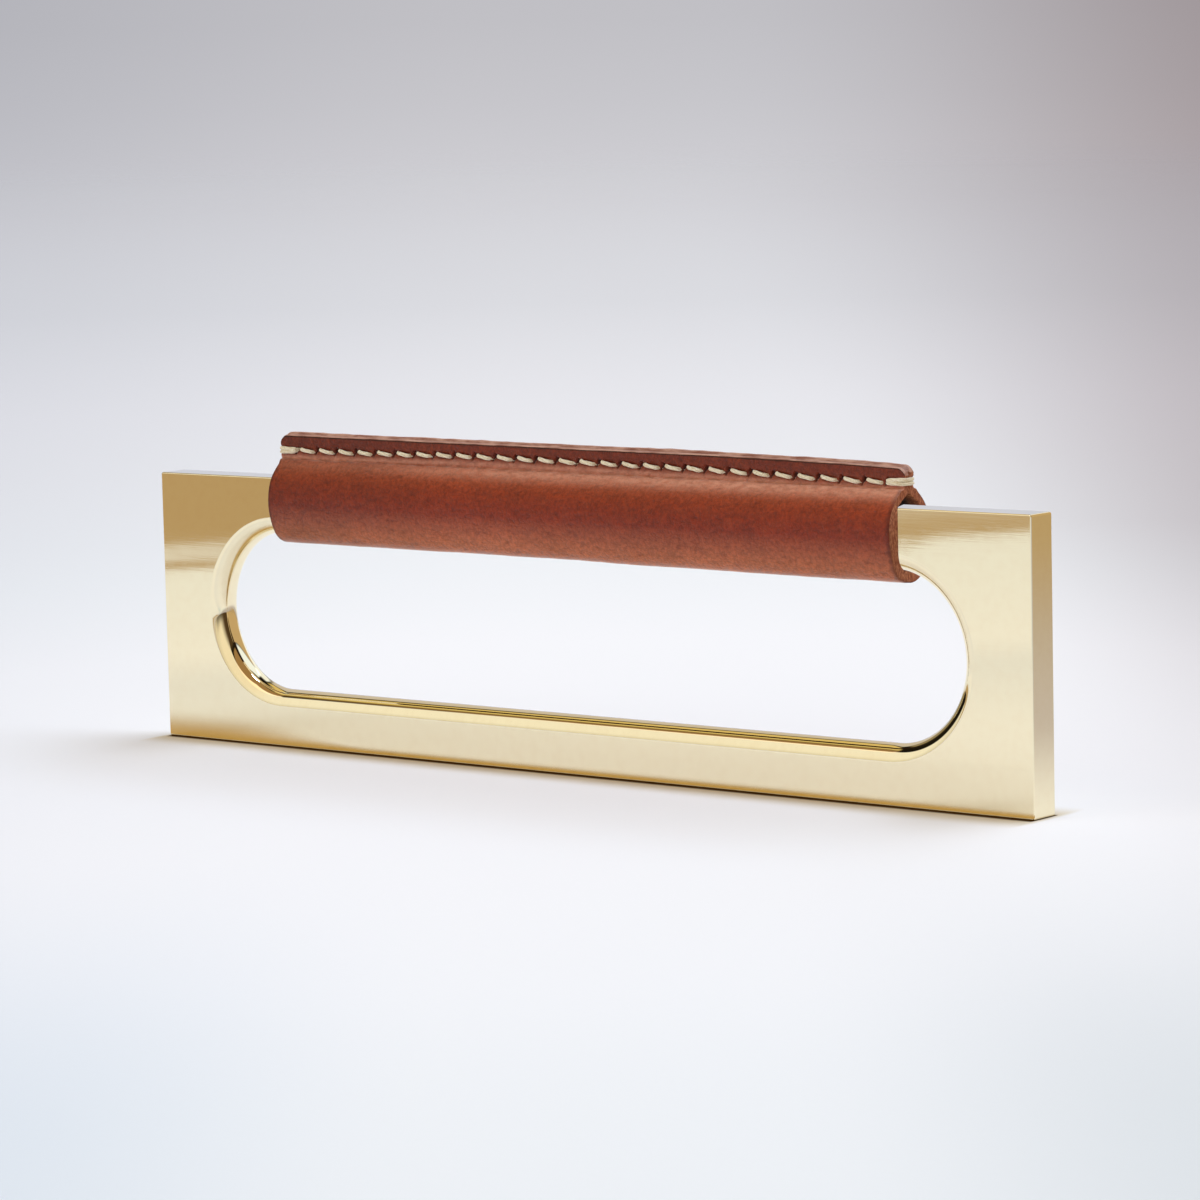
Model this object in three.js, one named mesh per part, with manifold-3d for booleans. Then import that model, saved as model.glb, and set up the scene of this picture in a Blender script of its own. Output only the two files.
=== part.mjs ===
import * as THREE from 'three';
import { mergeVertices } from 'three/addons/utils/BufferGeometryUtils.js';
import Module from 'manifold-3d';

// Furniture pull: a brass frame cut from plate, with a strip of leather folded round
// its upper rail and saddle stitched through a standing seam.
// Millimetres. X runs along the pull, the front looks towards -Y and Z is up.
// The origin is the middle of the foot, the long edge that is screwed to the door.

// Brass frame
const plateLength = 160;
const plateHeight = 41;
const plateThickness = 5;
const railHeight = 8.5; // brass above and below the opening, at the ridge of its round edge
const stileWidth = 11.8; // brass at each end of the opening, at the ridge
const ridgeLand = 0.1; // hairline flat on the ridge of the round edge
const edgeBreak = 0.2; // softening of the outer edges

// Blind tapped holes in the foot
const screwInset = 16; // from each end of the plate, which puts the screws 128 apart
const tapDrill = 2.5;
const holeDepth = 8;
const drillPointAngle = 118;

// Leather strip
const gripOverrun = 0.8; // each end of the sleeve, past the straight part of the opening
const gripOffset = 1.4; // the sleeve lies a little to the right of the middle
const leatherThickness = 2;
const skivedThickness = 1.05; // both long edges are thinned before sewing
const wrapClearance = 0.25; // between leather and brass
const shoulderDrop = 2.4; // where the shoulder ends, below the top of the plate
const creaseRise = 2.5; // crease at the foot of the standing seam, above the plate
const flangeHeight = 3.7; // standing seam, above the crease
const flangeCorner = 1.3; // rounding of its upper corners
const seamGap = 0.2; // between its two layers

// Saddle stitch
const stitchPitch = 3.85; // nominal, adjusted so that a whole number of stitches fits
const endMargin = 3.1; // from the ends of the strip to the first and last slit
const stitchInset = 2.15; // from the trimmed edge of the seam to the stitch line
const threadDiameter = 0.7;
const threadClearance = 0.2; // between thread and leather
const halvesGap = 0.15; // between the thread's two halves, side by side in a slit
const slitLean = 25; // degrees from upright
const bedDepth = 0.25; // furrow that the stitches press into the leather
const turnSharpness = 2; // how squarely the thread turns into a slit
const tailShare = 2 / 3; // round the end of the seam, the thread's tail comes this far back

// Facets
const roundSegments = 12; // quarter turns of the opening, and curves of the leather section
const bevelSegments = 6; // quarter of the round edge
const furrowSegments = 4;
const slitSegments = 2;
const threadSides = 6;
const stepsPerStitch = 6;

const halfThickness = plateThickness / 2;
const openingRadius = plateHeight / 2 - railHeight;
const openingEndX = plateLength / 2 - stileWidth - openingRadius;

// The rail is deeper where the opening starts to curve, so the sleeve hangs that much lower.
const gripReach = gripOverrun + Math.abs(gripOffset);
const noseSlack = openingRadius - Math.sqrt(openingRadius ** 2 - gripReach ** 2);
const noseZ = plateHeight - railHeight + halfThickness - noseSlack;

const gripLength = 2 * (openingEndX + gripOverrun);
const overrun = leatherThickness; // blanks and cutters pass what they cut by this much
const innerY = halfThickness + wrapClearance;
const outerY = innerY + leatherThickness;
const flangeY = seamGap / 2 + skivedThickness;
const creaseZ = plateHeight + creaseRise;
const flangeTop = creaseZ + flangeHeight;
const tentTopZ = creaseZ - skivedThickness / 2; // hollow between the leather and the plate's top

const stitchCount = Math.round((gripLength - 2 * endMargin) / stitchPitch);
const slitSpacing = (gripLength - 2 * endMargin) / stitchCount;
const firstSlitX = gripOffset - gripLength / 2 + endMargin;
const stitchZ = flangeTop - stitchInset;
const lean = THREE.MathUtils.degToRad(slitLean);
const threadRadius = threadDiameter / 2;
const threadHalfGap = threadRadius + halvesGap / 2;
const runY = flangeY - bedDepth + threadClearance + threadRadius;
const endReach = endMargin + threadClearance + threadRadius + threadHalfGap * Math.sin(lean);
const endRuns = 1 + tailShare;

const wasm = await Module();
wasm.setup();

function toSolid(geometry) {
  const bare = geometry.clone();
  bare.deleteAttribute('normal');
  bare.deleteAttribute('uv');
  const merged = mergeVertices(bare);
  return new wasm.Manifold(
    new wasm.Mesh({
      numProp: 3,
      vertProperties: merged.getAttribute('position').array,
      triVerts: merged.getIndex().array,
    }),
  );
}

function toGeometry(solid) {
  const mesh = solid.getMesh();
  const geometry = new THREE.BufferGeometry();
  geometry.setAttribute('position', new THREE.BufferAttribute(mesh.vertProperties, 3));
  geometry.setIndex(new THREE.BufferAttribute(mesh.triVerts, 1));
  geometry.computeVertexNormals();
  return geometry;
}

// Extrudes an outline drawn in X and Z through the thickness, centred on Y = 0.
function extrudeAcross(outline, depth, options = {}) {
  const geometry = new THREE.ExtrudeGeometry(outline, {
    depth,
    bevelEnabled: false,
    curveSegments: roundSegments,
    ...options,
  });
  geometry.translate(0, 0, -depth / 2);
  geometry.rotateX(Math.PI / 2);
  return geometry;
}

// Extrudes a section drawn in Y and Z along the sleeve and past both its ends.
function extrudeAlong(section, curveSegments) {
  const length = gripLength + 2 * overrun;
  const geometry = new THREE.ExtrudeGeometry(section, {
    depth: length,
    bevelEnabled: false,
    curveSegments,
  });
  const sectionToPull = new THREE.Matrix4().makeBasis(
    new THREE.Vector3(0, 1, 0),
    new THREE.Vector3(0, 0, 1),
    new THREE.Vector3(1, 0, 0),
  );
  geometry.applyMatrix4(sectionToPull);
  geometry.translate(gripOffset - length / 2, 0, 0);
  return geometry;
}

function slotOutline(halfLength, radius) {
  const outline = new THREE.Shape();
  outline.absarc(halfLength, 0, radius, -Math.PI / 2, Math.PI / 2);
  outline.absarc(-halfLength, 0, radius, Math.PI / 2, Math.PI * 1.5);
  outline.closePath();
  return outline;
}

// The blank is a softened bar of plate, standing on its foot.
function plateBlank() {
  const outline = new THREE.Shape();
  outline.moveTo(-plateLength / 2, 0);
  outline.lineTo(plateLength / 2, 0);
  outline.lineTo(plateLength / 2, plateHeight);
  outline.lineTo(-plateLength / 2, plateHeight);
  outline.closePath();
  return extrudeAcross(outline, plateThickness - 2 * edgeBreak, {
    bevelEnabled: true,
    bevelThickness: edgeBreak,
    bevelSize: edgeBreak,
    bevelOffset: -edgeBreak,
    bevelSegments: 2,
  });
}

// Waisted cutter: it narrows from both faces to the ridge, which leaves the opening's
// edge fully rounded.
function openingCutter() {
  const mouth = slotOutline(openingEndX, openingRadius + halfThickness);
  const cutter = extrudeAcross(mouth, ridgeLand, {
    bevelEnabled: true,
    bevelThickness: halfThickness,
    bevelSize: -halfThickness,
    bevelSegments,
  });
  cutter.translate(0, 0, plateHeight / 2);
  return cutter;
}

// Drilled from the foot upwards, with the cone that a drill leaves.
function screwHoleCutter(x) {
  const radius = tapDrill / 2;
  const cone = radius / Math.tan(THREE.MathUtils.degToRad(drillPointAngle / 2));
  const profile = [
    new THREE.Vector2(0, -edgeBreak),
    new THREE.Vector2(radius, -edgeBreak),
    new THREE.Vector2(radius, holeDepth),
    new THREE.Vector2(0, holeDepth + cone),
  ];
  const cutter = new THREE.LatheGeometry(profile, 2 * roundSegments);
  cutter.rotateX(Math.PI / 2);
  cutter.translate(x, 0, 0);
  return cutter;
}

function brassFrame() {
  let frame = toSolid(plateBlank()).subtract(toSolid(openingCutter()));
  for (const side of [-1, 1]) {
    frame = frame.subtract(toSolid(screwHoleCutter(side * (plateLength / 2 - screwInset))));
  }
  return toGeometry(frame);
}

// Section of the folded strip: round under the rail, up both faces, over the tent-shaped
// shoulders and up again as the two layers of the standing seam.
function wrapSection() {
  const edge = flangeTop + overrun;
  const shoulderZ = plateHeight - shoulderDrop;
  const leadY = flangeY + (innerY - seamGap / 2) / 2;
  const leadZ = creaseZ - (tentTopZ - plateHeight) / 2;

  const section = new THREE.Shape();
  section.moveTo(seamGap / 2, edge);
  section.lineTo(flangeY, edge);
  section.lineTo(flangeY, creaseZ);
  section.bezierCurveTo(leadY, leadZ, outerY, plateHeight, outerY, shoulderZ);
  section.lineTo(outerY, noseZ);
  section.absarc(0, noseZ, outerY, 0, -Math.PI, true);
  section.lineTo(-outerY, shoulderZ);
  section.bezierCurveTo(-outerY, plateHeight, -leadY, leadZ, -flangeY, creaseZ);
  section.lineTo(-flangeY, edge);
  section.lineTo(-seamGap / 2, edge);
  section.lineTo(-seamGap / 2, tentTopZ);
  section.lineTo(-innerY, plateHeight);
  section.lineTo(-innerY, noseZ);
  section.absarc(0, noseZ, innerY, -Math.PI, 0, false);
  section.lineTo(innerY, plateHeight);
  section.lineTo(seamGap / 2, tentTopZ);
  section.closePath();
  return section;
}

// Side outline that the sewn strip is trimmed to.
function trimOutline() {
  const left = gripOffset - gripLength / 2;
  const right = gripOffset + gripLength / 2;
  const bottom = noseZ - outerY - overrun;
  const outline = new THREE.Shape();
  outline.moveTo(left, bottom);
  outline.lineTo(right, bottom);
  outline.lineTo(right, flangeTop - flangeCorner);
  outline.absarc(right - flangeCorner, flangeTop - flangeCorner, flangeCorner, 0, Math.PI / 2);
  outline.absarc(left + flangeCorner, flangeTop - flangeCorner, flangeCorner, Math.PI / 2, Math.PI);
  outline.closePath();
  return outline;
}

// Shallow furrow under the stitches, on the face of the seam that looks towards side.
function stitchBed(side) {
  const reach = threadHalfGap * Math.cos(lean) + threadRadius + threadClearance;
  const section = new THREE.Shape();
  section.absellipse(side * flangeY, stitchZ, bedDepth, reach, 0, 2 * Math.PI);
  return extrudeAlong(section, furrowSegments);
}

// Leaning slit through both layers, long enough for the thread's two halves.
function slitCutter(index) {
  const slot = slotOutline(threadHalfGap, threadRadius + threadClearance);
  const cutter = extrudeAcross(slot, 2 * (flangeY + overrun), { curveSegments: slitSegments });
  cutter.rotateY(lean - Math.PI / 2);
  cutter.translate(firstSlitX + index * slitSpacing, 0, stitchZ);
  return cutter;
}

function leatherGrip() {
  const folded = toSolid(extrudeAlong(wrapSection(), roundSegments));
  const trim = toSolid(extrudeAcross(trimOutline(), 2 * (outerY + overrun)));
  let grip = folded.intersect(trim);
  for (const side of [-1, 1]) {
    grip = grip.subtract(toSolid(stitchBed(side)));
  }
  for (let index = 0; index <= stitchCount; index++) {
    grip = grip.subtract(toSolid(slitCutter(index)));
  }
  return toGeometry(grip);
}

// Eased count of runs: it stands still at whole numbers, where the thread is in a slit.
function eased(runs) {
  return runs - Math.sin(2 * Math.PI * runs) / (2 * Math.PI);
}

// Flattens a sine or cosine, so that a path that swings with it turns square corners.
function squared(swing) {
  return Math.tanh(turnSharpness * swing) / Math.tanh(turnSharpness);
}

// One half of the thread. It changes face at every slit, leaves a slit at its upper end and
// enters the next at its lower end, and turns once round each end of the seam. The other
// half does the same on the other face.
class WeavingThread extends THREE.Curve {
  constructor(side) {
    super();
    this.side = side;
  }

  getPoint(t, target = new THREE.Vector3()) {
    const stitch = t * (stitchCount + 2 * endRuns) - endRuns;
    const sewn = THREE.MathUtils.clamp(stitch, 0, stitchCount);
    const past = stitch - sewn;
    const fold = Math.sign(past) * (1 - Math.abs(1 - Math.abs(past)));
    const rise = threadHalfGap * this.side * squared(Math.cos(Math.PI * sewn));
    return target.set(
      firstSlitX + eased(sewn) * slitSpacing + eased(fold) * endReach + rise * Math.sin(lean),
      -this.side * runY * squared(Math.sin(Math.PI * stitch)),
      stitchZ + rise * Math.cos(lean),
    );
  }

  // Equal steps of the parameter put the steps where the thread bends.
  getUtoTmapping(u) {
    return u;
  }
}

function stitchingThread(side) {
  const section = new THREE.Shape();
  section.absarc(0, 0, threadRadius, 0, 2 * Math.PI);
  const tube = new THREE.ExtrudeGeometry(section, {
    steps: Math.round((stitchCount + 2 * endRuns) * stepsPerStitch),
    curveSegments: threadSides / 2,
    extrudePath: new WeavingThread(side),
  });
  return toGeometry(toSolid(tube));
}

const pull = new THREE.Group();

function addPiece(name, geometry, material) {
  const mesh = new THREE.Mesh(geometry, new THREE.MeshStandardMaterial(material));
  mesh.name = name;
  pull.add(mesh);
}

addPiece('brass_frame', brassFrame(), { color: 0xd8b878, roughness: 0.28, metalness: 1 });
addPiece('leather_grip', leatherGrip(), { color: 0x7a3524, roughness: 0.55, metalness: 0 });
addPiece('thread_half_1', stitchingThread(1), { color: 0xe2d5b0, roughness: 0.7, metalness: 0 });
addPiece('thread_half_2', stitchingThread(-1), { color: 0xe2d5b0, roughness: 0.7, metalness: 0 });

export default pull;
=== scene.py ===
import math

import bmesh
import bpy
import numpy as np
from mathutils import Matrix, Vector, noise


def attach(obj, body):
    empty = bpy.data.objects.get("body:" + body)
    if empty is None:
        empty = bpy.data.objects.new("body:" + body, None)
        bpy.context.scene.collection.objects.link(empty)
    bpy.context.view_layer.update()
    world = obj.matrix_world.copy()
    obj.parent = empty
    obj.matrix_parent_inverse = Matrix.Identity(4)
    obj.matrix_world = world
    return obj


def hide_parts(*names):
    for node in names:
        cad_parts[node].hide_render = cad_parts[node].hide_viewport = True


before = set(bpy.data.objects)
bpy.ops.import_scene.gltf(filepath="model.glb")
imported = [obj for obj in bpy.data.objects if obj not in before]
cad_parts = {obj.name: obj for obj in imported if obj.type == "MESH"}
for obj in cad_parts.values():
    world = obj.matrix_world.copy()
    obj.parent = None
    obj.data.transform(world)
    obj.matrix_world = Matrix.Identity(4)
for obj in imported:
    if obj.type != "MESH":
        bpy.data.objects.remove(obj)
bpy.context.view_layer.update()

MM = 0.001

# Sizes of the pull, in mm, as in the frame
LENGTH, HEIGHT, THICK = 160.0, 41.0, 5.0
HALF_T = THICK / 2
MID_Z = HEIGHT / 2
RIDGE_R = 12.0  # the opening's end, at the ridge of its round edge
MOUTH_R = RIDGE_R + HALF_T  # where the round edge meets the faces
END_X = 56.2  # centres of the opening's round ends
CORNER_R, EDGE_R = 0.35, 0.2
HOLE_X, HOLE_R, HOLE_DEEP = 64.0, 1.25, 8.0
HOLE_REACH = 2.6  # stretch of the foot, to each side of a hole, that is filled round it
DRILL_ANGLE = 118

GRIP_LEFT, GRIP_RIGHT = -55.6, 58.4
FIRST_SLIT, LAST_SLIT, STITCHES = -52.6, 55.7, 28
PITCH = (LAST_SLIT - FIRST_SLIT) / STITCHES
SLIT_LEAN = math.radians(33)
THREAD_R = 0.29
THREAD_TWIST = 5.0  # length of one turn of its plies

# Steps of the meshes
ROUND_STEPS = 40  # half turn of the opening's edge
EDGE_STEPS = 5  # quarter turn of an outer edge
HOLE_SIDES = 40
COLUMNS = 18  # of the leather, to a stitch
THREAD_SIDES = 14
THREAD_STEP = 0.13


# Helpers for node trees
class Nodes:
    """Short hand for building a node tree."""

    def __init__(self, tree):
        self.tree = tree

    def add(self, kind, **inputs):
        node = self.tree.nodes.new(kind)
        for key, value in inputs.items():
            if key.startswith("_"):
                setattr(node, key[1:], value)
            else:
                self.put(node.inputs[key.replace("_", " ")], value)
        return node

    def put(self, socket, value):
        if isinstance(value, bpy.types.NodeSocket):
            self.tree.links.new(value, socket)
        elif isinstance(value, bpy.types.Node):
            self.tree.links.new(value.outputs[0], socket)
        else:
            socket.default_value = value

    def times(self, a, b):
        return self.math("MULTIPLY", a, b)

    def plus(self, a, b):
        return self.math("ADD", a, b)

    def minus(self, a, b):
        return self.math("SUBTRACT", a, b)

    def size(self, a):
        return self.math("ABSOLUTE", a)

    def math(self, op, a, b=0.0, c=None, clamp=False):
        node = self.add("ShaderNodeMath", _operation=op, _use_clamp=clamp)
        for socket, value in zip(node.inputs, (a, b) if c is None else (a, b, c)):
            self.put(socket, value)
        return node.outputs[0]

    def ramp(self, value, lo, hi, out_lo=0.0, out_hi=1.0, smooth=True):
        node = self.add("ShaderNodeMapRange", Value=value, From_Min=lo, From_Max=hi, To_Min=out_lo,
                        To_Max=out_hi, _interpolation_type="SMOOTHSTEP" if smooth else "LINEAR")
        return node.outputs["Result"]

    def mix(self, factor, a, b, blend="MIX"):
        node = self.add("ShaderNodeMix", _data_type="RGBA", _blend_type=blend, _clamp_result=False,
                        _clamp_factor=False)
        for index, value in ((0, factor), (6, a), (7, b)):
            self.put(node.inputs[index], value)
        return node.outputs[2]

    def mix_shaders(self, share, a, b):
        node = self.add("ShaderNodeMixShader")
        for socket, value in zip(node.inputs, (share, a, b)):
            self.put(socket, value)
        return node

    def shade(self, value, stops):
        """Colour ramp through pairs of a place and a colour."""
        node = self.add("ShaderNodeValToRGB")
        self.put(node.inputs[0], value)
        ramp = node.color_ramp
        while len(ramp.elements) < len(stops):
            ramp.elements.new(0.5)
        for element, (spot, colour) in zip(ramp.elements, stops):
            element.position = spot
            element.color = tuple(colour) + (1,)
        return node.outputs[0]

    def tint(self, value, colour):
        return self.mix(1.0, value, colour, "MULTIPLY")

    def attribute(self, name):
        return self.add("ShaderNodeAttribute", _attribute_name=name).outputs["Fac"]

    def position(self):
        return self.add("ShaderNodeTexCoord").outputs["Object"]

    def scaled(self, vector, scale):
        return self.add("ShaderNodeMapping", Vector=vector, Scale=scale).outputs[0]

    def noise(self, vector, scale, detail=3.0, rough=0.55):
        node = self.add("ShaderNodeTexNoise", Vector=vector, Scale=scale, Detail=detail, Roughness=rough)
        return node.outputs["Fac"]

    def bump(self, height, strength, distance, normal=None):
        node = self.add("ShaderNodeBump", Strength=strength, Distance=distance, Height=height)
        if normal is not None:
            self.put(node.inputs["Normal"], normal)
        return node.outputs[0]


def material(name):
    mat = bpy.data.materials.new(name)
    mat.use_nodes = True
    tree = mat.node_tree
    tree.nodes.clear()
    nodes = Nodes(tree)
    shader = tree.nodes.new("ShaderNodeBsdfPrincipled")
    out = tree.nodes.new("ShaderNodeOutputMaterial")
    tree.links.new(shader.outputs[0], out.inputs[0])
    return mat, nodes, shader


def dress(n, shader, colour, roughness, normal):
    n.put(shader.inputs["Base Color"], colour)
    n.put(shader.inputs["Roughness"], roughness)
    n.put(shader.inputs["Normal"], normal)


def rgb(r, g, b):
    """An sRGB colour, 0 to 255, as the linear values that a node takes."""
    def lin(v):
        v /= 255
        return v / 12.92 if v <= 0.04045 else ((v + 0.055) / 1.055) ** 2.4
    return (lin(r), lin(g), lin(b), 1.0)


# Materials
def brass_material():
    mat, n, shader = material("polished_brass")
    pos = n.position()
    # Long polishing lines along the plate, and slow waves left by the buffing wheel.
    lines = n.noise(n.scaled(pos, (60, 900, 2600)), 1.0, 4.0, 0.6)
    fine = n.noise(n.scaled(pos, (260, 2600, 9000)), 1.0, 3.0, 0.6)
    wave = n.noise(pos, 55.0, 1.5, 0.4)
    spots = n.noise(pos, 700.0, 4.0, 0.6)
    flat = n.attribute("flat")  # 1 on the faces, 0 on the polished round of the opening
    tone = n.mix(n.ramp(spots, 0.35, 0.75), (0.955, 0.86, 0.61, 1), (0.94, 0.835, 0.585, 1))
    shader.inputs["Metallic"].default_value = 1.0
    brushed = n.plus(n.ramp(lines, 0.3, 0.7, 0.030, 0.045), n.ramp(spots, 0.4, 0.8, 0.0, 0.010))
    rough = n.add("ShaderNodeMix")
    n.put(rough.inputs[0], flat)
    n.put(rough.inputs[2], 0.03)
    n.put(rough.inputs[3], brushed)
    b1 = n.bump(wave, 0.05, 0.0004)
    b2 = n.bump(lines, 0.02, 0.00004, b1)
    dress(n, shader, tone, rough.outputs[0], n.bump(fine, 0.03, 0.00001, b2))
    return mat


def leather_grain_material():
    mat, n, shader = material("leather_grain_side")
    pos = n.position()
    cloud = n.noise(pos, 90.0, 4.0, 0.6)
    mottle = n.noise(pos, 620.0, 5.0, 0.65)
    pores = n.add("ShaderNodeTexVoronoi", Scale=2100.0, Randomness=1.0, _feature="DISTANCE_TO_EDGE")
    n.put(pores.inputs["Vector"], n.scaled(pos, (0.8, 1, 1)))
    pebble = n.noise(pos, 1700.0, 3.0, 0.65)
    creases = n.noise(n.scaled(pos, (0.45, 1.3, 1.3)), 1000.0, 3.0, 0.65)
    # Colour by height with painted light and shade, from 0 at the sleeve's lowest line to 1 at the crease,
    # and above it on the seam: a lit rim at the bottom, a paler lower part, a dark middle, a painted
    # highlight just below the crease and a darker seam above
    stops = [(0.0, (0.66, 0.30, 0.19)), (0.03, (0.47, 0.145, 0.062)), (0.09, (0.46, 0.135, 0.058)),
             (0.17, (0.42, 0.115, 0.052)), (0.25, (0.35, 0.080, 0.036)), (0.37, (0.245, 0.028, 0.008)),
             (0.47, (0.25, 0.026, 0.005)), (0.57, (0.29, 0.036, 0.007)), (0.64, (0.34, 0.058, 0.019)),
             (0.72, (0.44, 0.115, 0.055)), (0.77, (0.37, 0.095, 0.050)), (0.81, (0.25, 0.052, 0.024)),
             (0.87, (0.185, 0.026, 0.009)), (1.0, (0.175, 0.023, 0.008))]
    base = n.shade(n.times(n.attribute("tone"), 0.75), stops)
    base = n.tint(base, n.ramp(cloud, 0.3, 0.72, 0.90, 1.10))
    split = n.add("ShaderNodeSeparateXYZ", Vector=pos)
    base = n.tint(base, n.ramp(split.outputs[0], -0.056, -0.020, 0.80, 1.0))
    base = n.mix(n.ramp(mottle, 0.42, 0.72, 0.0, 0.16), base, rgb(190, 88, 50))
    base = n.tint(base, n.ramp(pebble, 0.34, 0.66, 0.78, 1.20))
    base = n.mix(n.ramp(pores.outputs["Distance"], 0.0, 0.10, 0.20, 0.0), base, rgb(72, 20, 11))
    base = n.mix(n.ramp(creases, 0.32, 0.46, 0.34, 0.0), base, rgb(84, 23, 12))
    patches = n.noise(n.scaled(pos, (0.5, 1, 1)), 1500.0, 3.0, 0.6)
    # Paler tone of the pressed leather below the stitches, and a painted highlight along the shoulder
    pressed_tone_and_painted_highlight = n.times(n.attribute("pale"), n.ramp(patches, 0.32, 0.68, 0.5, 1.0))
    base = n.mix(pressed_tone_and_painted_highlight, base, rgb(236, 172, 146))
    # Painted shade in the slits, in the seam's groove and near the cut ends, and a dark line along the top
    # corner
    base = n.mix(n.attribute("mark"), base, rgb(36, 10, 7))
    shader.inputs["Specular IOR Level"].default_value = 0.30
    b1 = n.bump(cloud, 0.25, 0.0004)
    b2 = n.bump(n.ramp(pores.outputs["Distance"], 0.0, 0.14), 0.45, 0.00006, b1)
    b3 = n.bump(creases, 0.8, 0.00014, b2)
    dress(n, shader, base, n.ramp(pebble, 0.3, 0.75, 0.30, 0.46), n.bump(pebble, 0.9, 0.00014, b3))
    return mat


def leather_edge_material():
    mat, n, shader = material("leather_cut_edge")
    pos = n.position()
    fibres = n.noise(n.scaled(pos, (1, 2.6, 1)), 1500.0, 5.0, 0.7)
    clumps = n.noise(pos, 480.0, 3.0, 0.6)
    base = n.mix(n.ramp(fibres, 0.34, 0.68), rgb(120, 56, 36), rgb(212, 138, 98))
    base = n.mix(n.ramp(clumps, 0.4, 0.75, 0.0, 0.5), base, rgb(160, 82, 52))
    # Painted shade, deeper inside the tube, and along the seam on the cut ends
    base = n.mix(n.attribute("mark"), base, rgb(38, 16, 11))
    dress(n, shader, base, 0.8, n.bump(fibres, 0.7, 0.00014, n.bump(clumps, 0.5, 0.0003)))
    return mat


def leather_burnished_material():
    mat, n, shader = material("leather_burnished_edge")
    pos = n.position()
    streak = n.noise(n.scaled(pos, (0.35, 1.5, 1.5)), 900.0, 4.0, 0.6)
    base = n.mix(n.ramp(streak, 0.3, 0.7), rgb(140, 84, 68), rgb(206, 160, 140))
    dress(n, shader, base, n.ramp(streak, 0.3, 0.7, 0.42, 0.6), n.bump(streak, 0.5, 0.0001))
    return mat


def thread_material():
    mat, n, shader = material("waxed_linen")
    pos = n.position()
    fibre = n.noise(pos, 5200.0, 3.0, 0.7)
    dirt = n.noise(pos, 600.0, 3.0, 0.6)
    base = n.mix(n.ramp(fibre, 0.3, 0.7), rgb(238, 224, 186), rgb(255, 250, 232))
    base = n.mix(n.ramp(dirt, 0.45, 0.8, 0.0, 0.35), base, rgb(206, 180, 136))
    # Painted shade in the grooves between the plies
    base = n.mix(n.times(n.attribute("ply"), 0.28), base, rgb(158, 126, 84))
    shader.inputs["Sheen Weight"].default_value = 0.25
    dress(n, shader, base, 0.62, n.bump(fibre, 0.5, 0.00008))
    return mat


# Helpers for meshes
def place(name, data):
    obj = bpy.data.objects.new(name, data)
    bpy.context.scene.collection.objects.link(obj)
    return obj


def new_object(name, verts_mm, faces, mats, slots=None, smooth=True):
    mesh = bpy.data.meshes.new(name)
    mesh.from_pydata((np.asarray(verts_mm) * MM).tolist(), [], faces)
    for mat in mats:
        mesh.materials.append(mat)
    if slots is not None:
        mesh.polygons.foreach_set("material_index", np.asarray(slots, dtype=np.int32))
    mesh.polygons.foreach_set("use_smooth", [smooth] * len(mesh.polygons))
    mesh.update()
    return place(name, mesh)


def grid_faces(rows, cols, offset=0, flip=False):
    """Quads of a grid of vertices numbered row by row, where each row closes on itself."""
    faces = []
    for i in range(rows - 1):
        for j in range(cols):
            a = offset + i * cols + j
            b = offset + i * cols + (j + 1) % cols
            c = b + cols
            d = a + cols
            faces.append((a, d, c, b) if flip else (a, b, c, d))
    return faces


def curve_through(points):
    """Catmull-Rom curve through the points, in short steps."""
    p = np.asarray(points, float)
    ext = np.vstack([2 * p[0] - p[1], p, 2 * p[-1] - p[-2]])
    t = np.linspace(0, 1, 24, endpoint=False)[:, None]
    out = []
    for i in range(len(p) - 1):
        a, b, c, d = ext[i], ext[i + 1], ext[i + 2], ext[i + 3]
        out.append(0.5 * (2 * b + (c - a) * t + (2 * a - 5 * b + 4 * c - d) * t ** 2
                          + (3 * b - a - 3 * c + d) * t ** 3))
    return np.vstack(out + [p[-1:]])


def resample(line, shares):
    """Points at these shares of the line's length."""
    steps = np.linalg.norm(np.diff(line, axis=0), axis=1)
    s = np.concatenate([[0], np.cumsum(steps)])
    want = np.asarray(shares) * s[-1]
    return np.stack([np.interp(want, s, line[:, k]) for k in range(line.shape[1])], 1)


def add_layer(mesh, name, values):
    """Values, one to a point, that a material reads by this name."""
    layer = mesh.attributes.new(name, "FLOAT", "POINT")
    layer.data.foreach_set("value", np.array(values, np.float32))


def point_outwards(mesh):
    bm = bmesh.new()
    bm.from_mesh(mesh)
    bmesh.ops.recalc_face_normals(bm, faces=bm.faces)
    bm.to_mesh(mesh)
    bm.free()
    mesh.update()


# Brass frame
def outline_hit(cx, ux, uz, inset):
    """Where a ray from (cx, MID_Z) leaves the plate's outline, and the outline's normal there."""
    half_x, half_z = LENGTH / 2 - inset, MID_Z - inset
    r = max(CORNER_R - inset, 1e-6)
    tx = (half_x - cx) / ux if ux > 1e-9 else (-half_x - cx) / ux if ux < -1e-9 else 1e9
    tz = half_z / abs(uz) if abs(uz) > 1e-9 else 1e9
    t = min(tx, tz)
    x, z = cx + ux * t, uz * t
    sx, sz = math.copysign(1, x), math.copysign(1, z)
    kx, kz = half_x - r, half_z - r
    if abs(x) > kx and abs(z) > kz:
        px, pz = cx - sx * kx, -sz * kz
        b = px * ux + pz * uz
        c = px * px + pz * pz - r * r
        t = -b + math.sqrt(max(b * b - c, 0))
        x, z = cx + ux * t, uz * t
        m = np.array([x - sx * kx, z - sz * kz])
        return x, z + MID_Z, m / np.linalg.norm(m)
    normal = np.array([sx, 0.0]) if tx < tz else np.array([0.0, sz])
    return x, z + MID_Z, normal


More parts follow.
